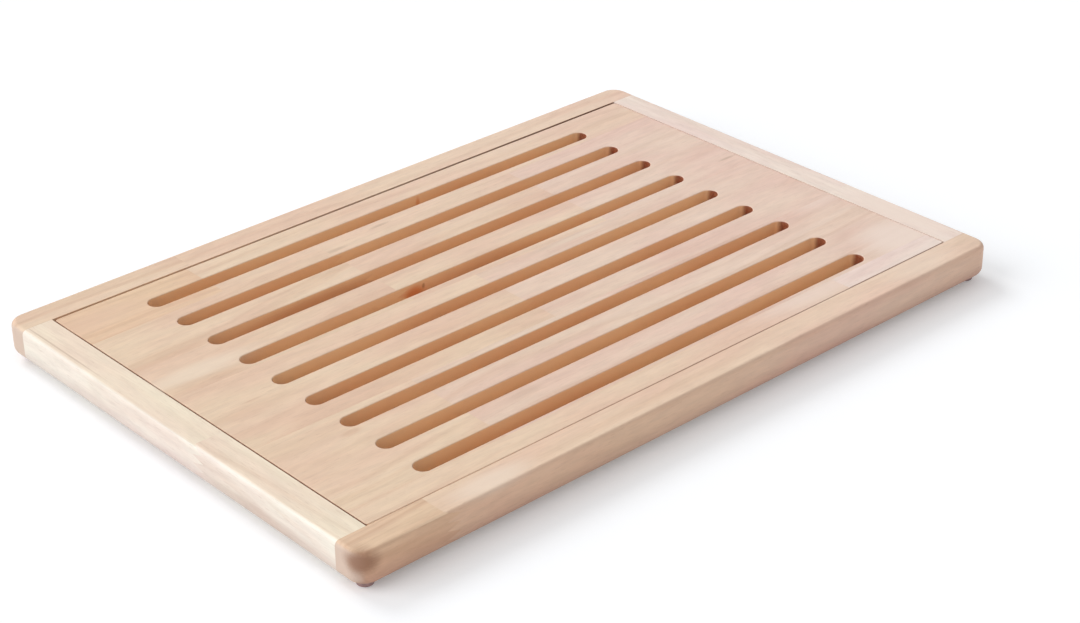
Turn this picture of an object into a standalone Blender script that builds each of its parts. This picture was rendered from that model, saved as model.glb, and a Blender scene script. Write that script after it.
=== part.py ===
"""A wooden bread board: a slotted grid that lies flush in a shallow crumb tray and lifts straight out.

The tray is a frame of four finger-jointed rails round a thin floor, held by dowels at its corners, on
four rubber feet. The grid is edge-glued from five staves, each finger-jointed from shorter blocks.
X runs along the board, Y across it and Z up. The origin is on the table, under the board's centre.
"""

import math

import bmesh
import bpy

MM = 0.001

# The board's outline
board_length = 475 * MM
board_width = 322 * MM
frame_height = 20.5 * MM
plan_corner_radius = 10.5 * MM
top_edge_radius = 3.0 * MM
bottom_edge_radius = 5.5 * MM
plan_corner_steps = 8
edge_steps = 4

# The rails
rail_width = 19.3 * MM
ledge_width = 8.0 * MM
glue_gap = 0.3 * MM

# The tray's floor
floor_thickness = 3.0 * MM
floor_recess = 2.0 * MM
floor_groove_depth = 5.0 * MM
floor_clearance = 0.3 * MM

# The grid
grid_thickness = 10.0 * MM
grid_seat_gap = 0.3 * MM
grid_gap_left = 0.85 * MM
grid_gap_right = 0.3 * MM
grid_gap_near = 0.45 * MM
grid_gap_far = 1.3 * MM
grid_corner_radius = 2.0 * MM
grid_edge_radius = 0.8 * MM
grid_corner_steps = 3
grid_edge_steps = 2

# The slots, numbered from the far side
slot_count = 9
slot_width = 11.0 * MM
slot_end_margin = 48.7 * MM
slot_side_margin = 16.9 * MM
slot_chamfer = 0.6 * MM
slot_end_steps = 10

# Glue lines between the staves: each runs along the land on the near side of that many slots, and lies at
# a share of the land's width from its far edge, at the grid's left and at its right end
glue_line_slot_counts = (1, 4, 6, 9)
glue_line_land_shares = ((0.59, 0.14), (0.12, 0.45), (0.67, 0.90), (0.10, 0.20))
# Finger joints in each stave, as shares of its length from the left
stave_joint_shares = ((0.213,), (0.380, 0.723), (0.484,), (0.246,), (0.816,))

# Finger joints
grid_finger_length = 7.0 * MM
grid_finger_count = 2
rail_finger_length = 9.0 * MM
rail_finger_count = 4

# Dowels at the corners, an inner and an outer one in each
dowel_diameter = 6.0 * MM
dowel_length = 25.0 * MM
dowel_in_long_rail = 11.0 * MM
dowel_spacing = 9.0 * MM
dowel_chamfer = 0.8 * MM
dowel_hole_clearance = 0.2 * MM
dowel_end_clearance = 0.5 * MM
dowel_sides = 16

# Rubber feet with a stem pressed into the frame
foot_diameter = 10.0 * MM
foot_height = 3.5 * MM
foot_taper = 0.4 * MM
foot_edge_radius = 0.9 * MM
foot_inset = 10.0 * MM
foot_stem_diameter = 5.0 * MM
foot_stem_length = 5.0 * MM
foot_stem_chamfer = 0.7 * MM
foot_stem_clearance = 0.2 * MM
foot_sides = 24
foot_edge_steps = 3

# How far a cutter or a blank runs past what it trims
overrun = 2.0 * MM

# A bevel with this profile is round, and an edge that turns by more than this angle is shaded sharp
round_profile = 0.5
sharp_angle = math.radians(40)

# Places that follow from the sizes
opening_length = board_length - 2 * rail_width
opening_width = board_width - 2 * rail_width
grid_length = opening_length - grid_gap_left - grid_gap_right
grid_width = opening_width - grid_gap_near - grid_gap_far
grid_middle_x = (grid_gap_left - grid_gap_right) / 2
grid_middle_y = (grid_gap_near - grid_gap_far) / 2
ledge_height = frame_height - grid_thickness - grid_seat_gap
floor_reach = ledge_width - floor_groove_depth + floor_clearance
slot_radius = slot_width / 2
slot_half_run = grid_length / 2 - slot_end_margin - slot_radius
slot_pitch = (grid_width - 2 * slot_side_margin - slot_width) / (slot_count - 1)

# Each rail: its blank's length, its ledge's length and its quarter turns about Z. The short rails butt against
# the long ones, whose ledges stop there, and the short rails' ledges lie between the long rails' ledges.
long_rail = (board_length + 2 * overrun, opening_length - 2 * glue_gap)
short_rail = (opening_width - 2 * glue_gap, opening_width - 2 * ledge_width - 2 * glue_gap)
rails = (
    ("long_rail_near", long_rail, 0),
    ("long_rail_far", long_rail, 2),
    ("short_rail_left", short_rail, 3),
    ("short_rail_right", short_rail, 1),
)
# Where each rail's finger joint lies, as a share of its blank's length
rail_joint_shares = (0.1271, 0.7677, 0.5962, 0.3397)
corners = (("near_left", -1, -1), ("near_right", 1, -1), ("far_left", -1, 1), ("far_right", 1, 1))

# Colours, linear
rail_colour = (0.76, 0.58, 0.44)
grid_colour = (0.74, 0.54, 0.39)
floor_colour = (0.62, 0.42, 0.28)
dowel_colour = (0.68, 0.50, 0.35)
rubber_colour = (0.16, 0.10, 0.11)
wood_roughness = 0.6
rubber_roughness = 0.75
# Each block of wood is a little lighter or darker than the next
tone_shares = (1.0, 0.93, 1.04, 0.97, 1.07, 0.9)


def clear_scene():
    """Remove what the file starts with."""
    for obj in list(bpy.data.objects):
        bpy.data.objects.remove(obj)


def material(name, colour, roughness):
    """A plain Principled material."""
    made = bpy.data.materials.new(name)
    made.use_nodes = True
    shader = made.node_tree.nodes["Principled BSDF"]
    shader.inputs["Base Color"].default_value = (*colour, 1)
    shader.inputs["Roughness"].default_value = roughness
    shader.inputs["Metallic"].default_value = 0
    return made


def wood(name, colour, number):
    """Wood whose tone depends on the block's number."""
    tone = tone_shares[number % len(tone_shares)]
    return material(name, [channel * tone for channel in colour], wood_roughness)


def add_object(name, bm, place=(0, 0, 0), turn=0, parent=None, finish=None):
    """Put a bmesh into the scene as an object, with its normals facing out."""
    bmesh.ops.recalc_face_normals(bm, faces=bm.faces)
    mesh = bpy.data.meshes.new(name)
    bm.to_mesh(mesh)
    bm.free()
    obj = bpy.data.objects.new(name, mesh)
    obj.location = place
    obj.rotation_euler = (0, 0, turn)
    obj.parent = parent
    if finish:
        mesh.materials.append(finish)
    bpy.context.scene.collection.objects.link(obj)
    return obj


def guide(name, bm, **place):
    """A cutter or a blank: seen only as wires, and never part of the board."""
    obj = add_object(name, bm, **place)
    obj.hide_render = True
    obj.display_type = "WIRE"
    return obj


def trim(obj, other, operation):
    """Cut the object with the other one, or keep only what both fill."""
    modifier = obj.modifiers.new(f"{operation.lower()}_{other.name}", "BOOLEAN")
    modifier.operation = operation
    modifier.object = other


def smooth(obj):
    """Shade round sides smooth and keep the sharp edges."""
    obj.data.shade_smooth()
    obj.data.set_sharp_from_angle(angle=sharp_angle)


def prism(outline, axis, low, high):
    """An outline in two axes, extruded along the third one from low to high.

    Axis 0 takes (y, z) points, axis 1 (x, z) and axis 2 (x, y).
    """
    bm = bmesh.new()
    ring = []
    for first, second in outline:
        point = [first, second]
        point.insert(axis, low)
        ring.append(bm.verts.new(point))
    face = bm.faces.new(ring)
    extruded = bmesh.ops.extrude_face_region(bm, geom=[face])
    moved = [item for item in extruded["geom"] if isinstance(item, bmesh.types.BMVert)]
    step = [0, 0, 0]
    step[axis] = high - low
    bmesh.ops.translate(bm, verts=moved, vec=step)
    return bm


def round_edges(bm, edges, radius, steps):
    bmesh.ops.bevel(bm, geom=edges, offset=radius, segments=steps, profile=round_profile, affect="EDGES")


def rounded_block(length, width, height, corner, top, bottom, corner_steps, round_steps):
    """A block on Z = 0 with round corners in plan and rounded top and bottom edges."""
    half_x, half_y = length / 2, width / 2
    outline = ((-half_x, -half_y), (half_x, -half_y), (half_x, half_y), (-half_x, half_y))
    bm = prism(outline, 2, 0, height)
    upright = [edge for edge in bm.edges if edge.verts[0].co.z != edge.verts[1].co.z]
    round_edges(bm, upright, corner, corner_steps)
    for level, radius in ((height, top), (0, bottom)):
        rim = [edge for edge in bm.edges if all(abs(vert.co.z - level) < radius / 2 for vert in edge.verts)]
        round_edges(bm, rim, radius, round_steps)
    return bm


def turned(profile, sides):
    """A profile of (radius, height) points turned about Z, closed with a flat cap at each end."""
    bm = bmesh.new()
    rings = []
    for radius, height in profile:
        angles = [2 * math.pi * side / sides for side in range(sides)]
        rings.append([bm.verts.new((radius * math.cos(a), radius * math.sin(a), height)) for a in angles])
    for below, above in zip(rings, rings[1:]):
        for side in range(sides):
            following = (side + 1) % sides
            bm.faces.new((below[side], below[following], above[following], above[side]))
    bm.faces.new(rings[0][::-1])
    bm.faces.new(rings[-1])
    return bm


def fingers(place, height, finger_length, finger_count):
    """The (run, z) points of a finger joint's edge, from below the wood to above it."""
    points = [(place - finger_length / 2, -overrun)]
    for step in range(2 * finger_count + 1):
        side = finger_length / 2 if step % 2 else -finger_length / 2
        points.append((place + side, height * step / (2 * finger_count)))
    points.append((place - finger_length / 2, height + overrun))
    return points


def plain_end(place, height):
    """The (run, z) points of a square end."""
    return [(place, -overrun), (place, height + overrun)]


def block(start, end):
    """The outline between a start edge and an end edge, both given from below to above."""
    return start[::-1] + end


def shifted(points, distance):
    return [(run + distance, height) for run, height in points]


def share_of(low, high, share):
    return low + (high - low) * share


# The frame
def frame_envelope():
    """The outside of the glued-up frame, which the rails are trimmed to."""
    return guide(
        "frame_envelope",
        rounded_block(
            board_length,
            board_width,
            frame_height,
            plan_corner_radius,
            top_edge_radius,
            bottom_edge_radius,
            plan_corner_steps,
            edge_steps,
        ),
        place=(0, 0, foot_height),
    )


def rail_blank(run_length, ledge_length):
    """A square-ended rail from its outer face inwards, with a shorter ledge that carries the grid."""
    half, ledge_half = run_length / 2, ledge_length / 2
    inner = rail_width + ledge_width
    bar = [(-half, -overrun), (half, -overrun), (half, rail_width), (-half, rail_width)]
    ledge = [(ledge_half, rail_width), (ledge_half, inner), (-ledge_half, inner), (-ledge_half, rail_width)]
    levels = (
        (bar[:3] + ledge + bar[3:], -overrun),
        (bar[:3] + ledge + bar[3:], ledge_height),
        (bar, frame_height + overrun),
    )
    bm = bmesh.new()
    low, middle, high = ([bm.verts.new((x, y, z)) for x, y in outline] for outline, z in levels)
    bm.faces.new(low[::-1])
    for index in range(len(low)):
        following = (index + 1) % len(low)
        bm.faces.new((low[index], low[following], middle[following], middle[index]))
    # Above the ledge's top, only the bar goes on, and its inner face takes in the ledge's two corners.
    bm.faces.new(middle[3:7])
    bm.faces.new((middle[0], middle[1], high[1], high[0]))
    bm.faces.new((middle[1], middle[2], high[2], high[1]))
    bm.faces.new((middle[2], middle[3], middle[6], middle[7], high[3], high[2]))
    bm.faces.new((middle[7], middle[0], high[0], high[3]))
    bm.faces.new(high)
    return bm


def make_rail(name, lengths, quarter_turns, joint_share, trimmers, number):
    """A rail as two blocks with a finger joint between them."""
    turn = quarter_turns * math.pi / 2
    outward = board_length / 2 if quarter_turns % 2 else board_width / 2
    placed = {"place": (outward * math.sin(turn), -outward * math.cos(turn), foot_height), "turn": turn}
    half = lengths[0] / 2
    blank = guide(f"{name}_blank", rail_blank(*lengths), **placed)
    joint_place = share_of(-half, half, joint_share)
    joint = fingers(joint_place, frame_height, rail_finger_length, rail_finger_count)
    ends = plain_end(-half - overrun, frame_height), plain_end(half + overrun, frame_height)
    outlines = (block(ends[0], joint), block(shifted(joint, glue_gap), ends[1]))
    depth = rail_width + ledge_width + overrun
    for index, outline in enumerate(outlines):
        block_name = f"{name}_block_{index + 1}"
        finish = wood(block_name, rail_colour, number + index)
        rail = add_object(block_name, prism(outline, 1, -2 * overrun, depth), finish=finish, **placed)
        for trimmer, operation in ((blank, "INTERSECT"), *trimmers):
            trim(rail, trimmer, operation)
        smooth(rail)


def floor_outline(margin):
    """The floor's plan, held in the rails' grooves, with a margin all round."""
    half_x = opening_length / 2 - floor_reach + margin
    half_y = opening_width / 2 - floor_reach + margin
    return ((-half_x, -half_y), (half_x, -half_y), (half_x, half_y), (-half_x, half_y))


def make_floor():
    low = foot_height + floor_recess
    finish = wood("tray_floor", floor_colour, 0)
    add_object("tray_floor", prism(floor_outline(0), 2, low, low + floor_thickness), finish=finish)


def floor_groove():
    low = foot_height + floor_recess - floor_clearance
    high = low + floor_thickness + 2 * floor_clearance
    return guide("floor_groove", prism(floor_outline(floor_clearance), 2, low, high))


def dowel_places():
    """Each dowel's name, its outer end, and the way it points: from the long rail into the short one."""
    middle = (board_length - rail_width) / 2
    height = foot_height + frame_height / 2
    for corner, side_x, side_y in corners:
        start = side_y * (opening_width / 2 + dowel_in_long_rail)
        for row, offset in (("inner", -dowel_spacing / 2), ("outer", dowel_spacing / 2)):
            yield f"dowel_{corner}_{row}", (side_x * (middle + offset), start, height), -side_y


def laid_along_y(bm, direction):
    """Turn a piece that stands on Z = 0 so that it lies along Y, pointing the given way."""
    for vert in bm.verts:
        x, y, z = vert.co
        vert.co = (x, direction * z, y)
    return bm


def dowel_profile():
    radius = dowel_diameter / 2
    narrow = radius - dowel_chamfer
    return (
        (narrow, 0),
        (radius, dowel_chamfer),
        (radius, dowel_length - dowel_chamfer),
        (narrow, dowel_length),
    )


def make_dowels():
    for number, (name, place, direction) in enumerate(dowel_places()):
        bm = laid_along_y(turned(dowel_profile(), dowel_sides), direction)
        smooth(add_object(name, bm, place=place, finish=wood(name, dowel_colour, number)))


def joined(meshes, places):
    """Several separate shapes as one bmesh, each moved to its place."""
    whole = bmesh.new()
    for bm, place in zip(meshes, places):
        bmesh.ops.translate(bm, verts=bm.verts, vec=place)
        mesh = bpy.data.meshes.new("piece")
        bm.to_mesh(mesh)
        bm.free()
        whole.from_mesh(mesh)
        bpy.data.meshes.remove(mesh)
    return whole


def dowel_holes():
    """One blind hole for each dowel, a little wider and longer than it."""
    radius = dowel_diameter / 2 + dowel_hole_clearance
    profile = ((radius, -dowel_end_clearance), (radius, dowel_length + dowel_end_clearance))
    shapes, places = [], []
    for _, place, direction in dowel_places():
        shapes.append(laid_along_y(turned(profile, dowel_sides), direction))
        places.append(place)
    return guide("dowel_holes", joined(shapes, places))


# The feet
def foot_places():
    for corner, side_x, side_y in corners:
        x = side_x * (board_length / 2 - foot_inset)
        y = side_y * (board_width / 2 - foot_inset)
        yield f"foot_{corner}", (x, y, 0)


def foot_profile():
    """A low tapered button with a rounded lower edge, and the stem above it."""
    radius = foot_diameter / 2
    lower = radius - foot_taper
    points = []
    for step in range(foot_edge_steps + 1):
        angle = math.pi / 2 * step / foot_edge_steps
        across = lower - foot_edge_radius + foot_edge_radius * math.sin(angle)
        points.append((across, foot_edge_radius - foot_edge_radius * math.cos(angle)))
    button_top = foot_height - glue_gap
    stem = foot_stem_diameter / 2
    stem_top = foot_height + foot_stem_length
    points += [(radius, button_top), (stem, button_top), (stem, stem_top - foot_stem_chamfer)]
    points.append((stem - foot_stem_chamfer, stem_top))
    return points


def make_feet():
    for name, place in foot_places():
        finish = material(name, rubber_colour, rubber_roughness)
        smooth(add_object(name, turned(foot_profile(), foot_sides), place=place, finish=finish))


def stem_holes():
    radius = foot_stem_diameter / 2 + foot_stem_clearance
    low = foot_height - overrun
    high = foot_height + foot_stem_length + foot_stem_clearance
    places = [place for _, place in foot_places()]
    shapes = [turned(((radius, low), (radius, high)), foot_sides) for _ in places]
    return guide("stem_holes", joined(shapes, places))


# The grid
def slot_centres():
    """The Y of each slot from the grid's middle, from the far side."""
    middle = (slot_count - 1) / 2
    return [(middle - number) * slot_pitch for number in range(slot_count)]


def slot_outline(radius):
    """A straight slot with round ends."""
    points = []
    for side in (1, -1):
        for step in range(slot_end_steps + 1):
            angle = math.pi * (step / slot_end_steps - 0.5)
            run = slot_half_run + radius * math.cos(angle)
            points.append((side * run, side * radius * math.sin(angle)))
    return points


def slot_cutter_shape():
    """A slot with a small chamfer at its upper and lower edge, as stacked outlines."""
    flared = slot_radius + slot_chamfer + overrun
    levels = (
        (-overrun, flared),
        (slot_chamfer, slot_radius),
        (grid_thickness - slot_chamfer, slot_radius),
        (grid_thickness + overrun, flared),
    )
    bm = bmesh.new()
    rings = [[bm.verts.new((x, y, z)) for x, y in slot_outline(radius)] for z, radius in levels]
    count = len(rings[0])
    for below, above in zip(rings, rings[1:]):
        for index in range(count):
            following = (index + 1) % count
            bm.faces.new((below[index], below[following], above[following], above[index]))
    bm.faces.new(rings[0][::-1])
    bm.faces.new(rings[-1])
    return bm


def level_line(y):
    """A line along X, as its Y at the grid's left and right end."""
    return (y, y)


def land(slots_beyond):
    """The far and near Y of the wood on the near side of that many slots."""
    centres = slot_centres()
    far = centres[slots_beyond - 1] - slot_radius
    near = centres[slots_beyond] + slot_radius if slots_beyond < slot_count else -grid_width / 2
    return far, near


def glue_lines():
    """The line of each glue joint, between lines just past the grid's far and near edges."""
    half = grid_width / 2
    lines = [level_line(half + overrun)]
    for slots_beyond, shares in zip(glue_line_slot_counts, glue_line_land_shares):
        far, near = land(slots_beyond)
        lines.append(tuple(share_of(far, near, share) for share in shares))
    return lines + [level_line(-half - overrun)]


def bars(far, near):
    """A stave cut along the middle of each slot in it, as pairs of a far and a near line."""
    cuts = [far] + [level_line(y) for y in slot_centres() if near[0] < y < far[0]] + [near]
    return list(zip(cuts, cuts[1:]))


def stave_piece(outline, far, near):
    """An (x, z) outline that fills a stave's width between its far and its near line."""
    bm = prism(outline, 1, 0, grid_width)
    for vert in bm.verts:
        is_far = vert.co.y > grid_width / 2
        left, right = far if is_far else near
        y = share_of(left, right, vert.co.x / grid_length + 0.5)
        vert.co.y = y - glue_gap / 2 if is_far else y + glue_gap / 2
    return bm


def make_grid():
    seat = foot_height + frame_height - grid_thickness
    carrier = bpy.data.objects.new("grid_lift_axis", None)
    carrier.location = (grid_middle_x, grid_middle_y, seat)
    bpy.context.scene.collection.objects.link(carrier)
    blank = guide(
        "grid_blank",
        rounded_block(
            grid_length,
            grid_width,
            grid_thickness,
            grid_corner_radius,
            grid_edge_radius,
            grid_edge_radius,
            grid_corner_steps,
            grid_edge_steps,
        ),
        parent=carrier,
    )
    centres = slot_centres()
    shapes = [slot_cutter_shape() for _ in centres]
    cutter = guide("slots", joined(shapes, [(0, centre, 0) for centre in centres]), parent=carrier)
    lines = glue_lines()
    half = grid_length / 2
    number = 0
    for stave, (far, near) in enumerate(zip(lines, lines[1:])):
        ends = [plain_end(-half - overrun, grid_thickness)]
        for share in stave_joint_shares[stave]:
            place = share_of(-half, half, share)
            ends.append(fingers(place, grid_thickness, grid_finger_length, grid_finger_count))
        ends.append(plain_end(half + overrun, grid_thickness))
        last = len(ends) - 2
        for index in range(last + 1):
            outline = block(shifted(ends[index], glue_gap if index else 0), ends[index + 1])
            # A block that reaches neither end of the grid is left by the slots as separate bars.
            is_middle = 0 < index < last
            parts = bars(far, near) if is_middle else [(far, near)]
            for part, lines_beside in enumerate(parts):
                name = f"grid_stave_{stave + 1}_block_{index + 1}"
                if is_middle:
                    name += f"_bar_{part + 1}"
                bm = stave_piece(outline, *lines_beside)
                piece = add_object(name, bm, parent=carrier, finish=wood(name, grid_colour, number))
                trim(piece, blank, "INTERSECT")
                trim(piece, cutter, "DIFFERENCE")
                smooth(piece)
            number += 1


def main():
    clear_scene()
    trimmers = (
        (frame_envelope(), "INTERSECT"),
        (stem_holes(), "DIFFERENCE"),
        (floor_groove(), "DIFFERENCE"),
        (dowel_holes(), "DIFFERENCE"),
    )
    for number, ((name, lengths, quarter_turns), share) in enumerate(zip(rails, rail_joint_shares)):
        make_rail(name, lengths, quarter_turns, share, trimmers, 2 * number)
    make_floor()
    make_dowels()
    make_feet()
    make_grid()


main()
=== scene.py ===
"""The looks of a slotted wooden bread board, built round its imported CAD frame.

Every new piece is a numpy surface in metres, placed where the CAD solid that it stands for is: X runs along
the board, Y across it towards the far rail, and Z up from the table. The wood is procedural.
"""

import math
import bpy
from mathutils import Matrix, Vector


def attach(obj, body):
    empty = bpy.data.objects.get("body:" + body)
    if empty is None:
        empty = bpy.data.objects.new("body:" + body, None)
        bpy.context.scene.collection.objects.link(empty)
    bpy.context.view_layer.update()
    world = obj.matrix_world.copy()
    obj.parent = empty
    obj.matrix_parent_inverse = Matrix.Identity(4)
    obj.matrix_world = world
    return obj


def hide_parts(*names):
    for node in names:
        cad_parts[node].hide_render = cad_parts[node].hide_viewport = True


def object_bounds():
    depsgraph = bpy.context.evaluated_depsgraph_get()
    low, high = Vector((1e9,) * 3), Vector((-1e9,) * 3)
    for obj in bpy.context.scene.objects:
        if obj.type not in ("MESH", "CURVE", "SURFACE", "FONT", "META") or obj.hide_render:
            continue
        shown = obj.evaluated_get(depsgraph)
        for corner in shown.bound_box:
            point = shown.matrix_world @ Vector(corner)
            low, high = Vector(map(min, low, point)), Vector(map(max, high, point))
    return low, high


bl_info = {
    "name": "Bread board",
    "version": (1, 0, 0),
    "blender": (4, 5, 0),
    "location": "3D View > Sidebar > Bread board",
    "description": "Makes a wooden bread board with a lift-out slotted grid",
    "category": "Add Mesh",
}

import bmesh
import bpy
import numpy as np
from bpy.props import FloatProperty, FloatVectorProperty, IntProperty, PointerProperty
from bpy.types import NodeSocket, Operator, Panel, PropertyGroup
from mathutils import Matrix

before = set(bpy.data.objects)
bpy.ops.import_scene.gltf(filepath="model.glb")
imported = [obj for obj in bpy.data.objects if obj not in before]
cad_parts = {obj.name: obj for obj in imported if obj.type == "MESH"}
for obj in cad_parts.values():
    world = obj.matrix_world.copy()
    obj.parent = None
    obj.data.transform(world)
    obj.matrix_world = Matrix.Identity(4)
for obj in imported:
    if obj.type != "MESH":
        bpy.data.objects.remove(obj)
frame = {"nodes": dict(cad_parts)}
cad_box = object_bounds()

MM = 0.001
board_size = [high - low for low, high in zip(*cad_box)]

# How far a cutter or a blank runs past what it trims, how near two points are one, and how far two faces
# turn at an edge that stays sharp
OVERRUN = 2.0 * MM
SAME_POINT = 0.002 * MM
SHARP_ANGLE = math.radians(35)

# How finely round forms are drawn: sides round a hole and a foot, points along a slot's end and edge, and
# points along a foot's edge
HOLE_SIDES, FOOT_SIDES = 32, 64
SLOT_END_POINTS, SLOT_EDGE_POINTS, FOOT_EDGE_POINTS = 21, 5, 7

# Each rail, the quarter turns that bring it from the near side to its place, and where its finger joint
# lies, as a share of its length. The staves' joints are shares of the grid's length.
RAILS = (
    ("long_rail_near", 0, 0.1271),
    ("long_rail_far", 2, 0.7677),
    ("short_rail_left", 3, 0.5962),
    ("short_rail_right", 1, 0.3397),
)
STAVE_JOINT_SHARES = ((0.213,), (0.380, 0.723), (0.484,), (0.246,), (0.816,))
# Each glue line runs along the land on the near side of that many slots, and lies at a share of the land's
# width from its far edge, at the grid's left and at its right end
GLUE_LINES = ((1, (0.59, 0.14)), (4, (0.12, 0.45)), (6, (0.67, 0.90)), (9, (0.10, 0.20)))
CORNERS = (("near_left", -1, -1), ("near_right", 1, -1), ("far_left", -1, 1), ("far_right", 1, 1))


def amount(name, description, default, **kind):
    return FloatProperty(name=name, description=description, default=default, **kind)


def length(name, description, millimetres):
    """A length with its default in millimetres."""
    return amount(name, description, millimetres * MM, unit="LENGTH", precision=5)


def angle(name, description, degrees):
    """An angle with its default in degrees."""
    return amount(name, description, math.radians(degrees), subtype="ANGLE")


def how_many(name, description, default, least=1):
    return IntProperty(name=name, description=description, default=default, min=least)


def colour(name, description, red, green, blue):
    """A colour with its default in the 0 to 255 values of a screen."""
    channels = [screen_to_linear(value) for value in (red, green, blue)]
    choices = {"default": channels, "subtype": "COLOR", "min": 0, "max": 1}
    return FloatVectorProperty(name=name, description=description, **choices)


def screen_to_linear(value):
    """The linear share of light that a 0 to 255 screen value stands for."""
    share = value / 255
    return share / 12.92 if share <= 0.04045 else ((share + 0.055) / 1.055) ** 2.4


class FrameSizes(PropertyGroup):
    """The sizes of the rails that frame the tray."""

    height: length("Height", "Height of the wood, without the feet", 20.5)
    rail_width: length("Rail width", "Width of each rail's top", 19.3)
    corner_radius: length("Corner radius", "Radius of the board's corners, seen from above", 10.5)
    top_radius: length("Top edge radius", "Radius of the outer upper edge", 3.0)
    bottom_radius: length("Bottom edge radius", "Radius of the outer lower edge", 5.5)
    ledge_width: length("Ledge width", "Width of the ledge under the grid", 8.0)
    ledge_height: length("Ledge height", "Height of the ledge above the wood's underside", 10.2)
    finger_length: length("Finger length", "Length of the fingers in a rail's joint", 9.0)
    finger_count: how_many("Fingers", "Fingers in a rail's joint", 4)
    seam: length("Seam", "Width of the glue line between two pieces of wood", 0.04)


class FloorSizes(PropertyGroup):
    """The sizes of the groove that holds the tray's floor."""

    thickness: length("Thickness", "Thickness of the floor panel", 3.0)
    recess: length("Recess", "How far the panel lies above the wood's underside", 2.0)
    groove_depth: length("Groove depth", "Depth of the groove in the ledge", 5.0)
    clearance: length("Clearance", "Play between the panel and its groove", 0.3)


class GridSizes(PropertyGroup):
    """The sizes of the slotted grid."""

    thickness: length("Thickness", "Thickness of the grid", 10.0)
    gap_left: length("Left gap", "Gap between the grid and the left rail", 0.85)
    gap_right: length("Right gap", "Gap between the grid and the right rail", 0.3)
    gap_near: length("Near gap", "Gap between the grid and the near rail", 0.45)
    gap_far: length("Far gap", "Gap between the grid and the far rail", 1.3)
    corner_radius: length("Corner radius", "Radius of the grid's corners, seen from above", 2.0)
    edge_radius: length("Edge radius", "Radius of the grid's upper and lower edges", 0.8)
    slot_count: how_many("Slots", "Number of slots", 9)
    slot_width: length("Slot width", "Width of each slot", 11.0)
    end_margin: length("End margin", "Wood between a slot's end and the grid's end", 48.7)
    side_margin: length("Side margin", "Wood between the outer slots and the grid's sides", 16.9)
    slot_edge: length("Slot edge", "Radius of each slot's upper and lower edge", 0.6)
    finger_length: length("Finger length", "Length of the fingers in a stave's joint", 7.0)
    finger_count: how_many("Fingers", "Fingers in a stave's joint", 2)


class FittingSizes(PropertyGroup):
    """The sizes of the dowels and of the rubber feet."""

    dowel_diameter: length("Dowel diameter", "Diameter of each corner dowel", 6.0)
    dowel_length: length("Dowel length", "Length of each corner dowel", 25.0)
    dowel_depth: length("Dowel depth", "How deep each dowel sits in the long rail", 11.0)
    dowel_spacing: length("Dowel spacing", "Distance between the two dowels of a corner", 9.0)
    dowel_chamfer: length("Dowel chamfer", "Chamfer on a dowel's ends", 0.8)
    flute_depth: length("Flute depth", "Depth of the flutes along a dowel", 0.12)
    flute_count: how_many("Flutes", "Flutes round a dowel", 20, least=3)
    foot_diameter: length("Foot diameter", "Diameter of each rubber foot", 10.0)
    foot_height: length("Foot height", "How far a foot stands proud of the wood", 3.5)
    foot_seat: length("Foot seat", "Gap between a foot's button and the wood", 0.3)
    foot_taper: length("Foot taper", "How much narrower a foot is at its lower edge", 0.4)
    foot_edge: length("Foot edge radius", "Radius of a foot's lower edge", 0.9)
    foot_inset: length("Foot inset", "From a foot's middle to the board's edges", 10.0)
    stem_diameter: length("Stem diameter", "Diameter of the stem pressed into the wood", 5.0)
    stem_length: length("Stem length", "Length of the stem in the wood", 5.0)
    stem_chamfer: length("Stem chamfer", "Chamfer on the stem's end", 0.7)
    hole_clearance: length("Hole clearance", "Play round a dowel or a stem in its hole", 0.2)
    hole_end: length("Hole end", "Room past each end of a dowel", 0.5)


class Finishes(PropertyGroup):
    """The colours of the wood and of the rubber."""

    cream: colour("Cream", "Palest sapwood, on the left rail", 243, 225, 206)
    blush: colour("Blush", "Pale sapwood, on the right rail", 239, 221, 207)
    pink: colour("Pink", "Pale pinkish sapwood, at the grid's right end", 238, 218, 205)
    rose: colour("Rose", "Ordinary wood, a little pinker", 231, 203, 184)
    pale: colour("Pale", "Ordinary pale wood", 232, 203, 179)
    honey: colour("Honey", "Warmer wood", 231, 196, 167)
    tan: colour("Tan", "Darkest block, at the near corner", 229, 197, 170)
    figure: colour("Figure", "Heartwood figure and late growth rings", 196, 152, 120)
    # Smoke is also the painted shade of the crease along the left rail's top and low on its outer face
    smoke_and_shade: colour("Smoke", "Greyish mineral streaks", 186, 158, 134)
    # Knot is used only at the near corner: dark end grain with painted shade where the corner turns from the
    # light
    dark_end_grain_and_shade: colour("Knot", "Small knots and the darkest end grain", 150, 104, 76)
    russet: colour("Russet", "Reddest wood in the slots' walls", 196, 118, 74)
    rust: colour("Rust", "Orange patches in two slots' walls", 228, 136, 78)
    pore: colour("Pore", "Open pores along the grain", 160, 114, 88)
    end_grain: colour("End grain", "Sawn ends of the rails", 212, 189, 173)
    # Cut end is also the painted shade in the gaps round the grid, on its outer sides and the long rails'
    # inner sides
    cut_end_and_gap_shade: colour("Cut end", "Sawn ends and outer sides of the grid", 138, 88, 64)
    # Slot end is partly end grain and partly painted shade in the slots' round ends
    slot_end_and_shade: colour("Slot end", "End grain at the slots' round ends, darkened by the cutter", 134, 64, 36)
    # Routed wood is partly the walls' own tone and partly painted warm light bounced about in the slots
    routed_and_bounce_light: colour("Routed wood", "Walls of the slots", 252, 207, 161)
    panel: colour("Panel", "Plywood floor", 196, 150, 110)
    rubber: colour("Rubber", "Moulded rubber feet", 168, 136, 134)


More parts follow.
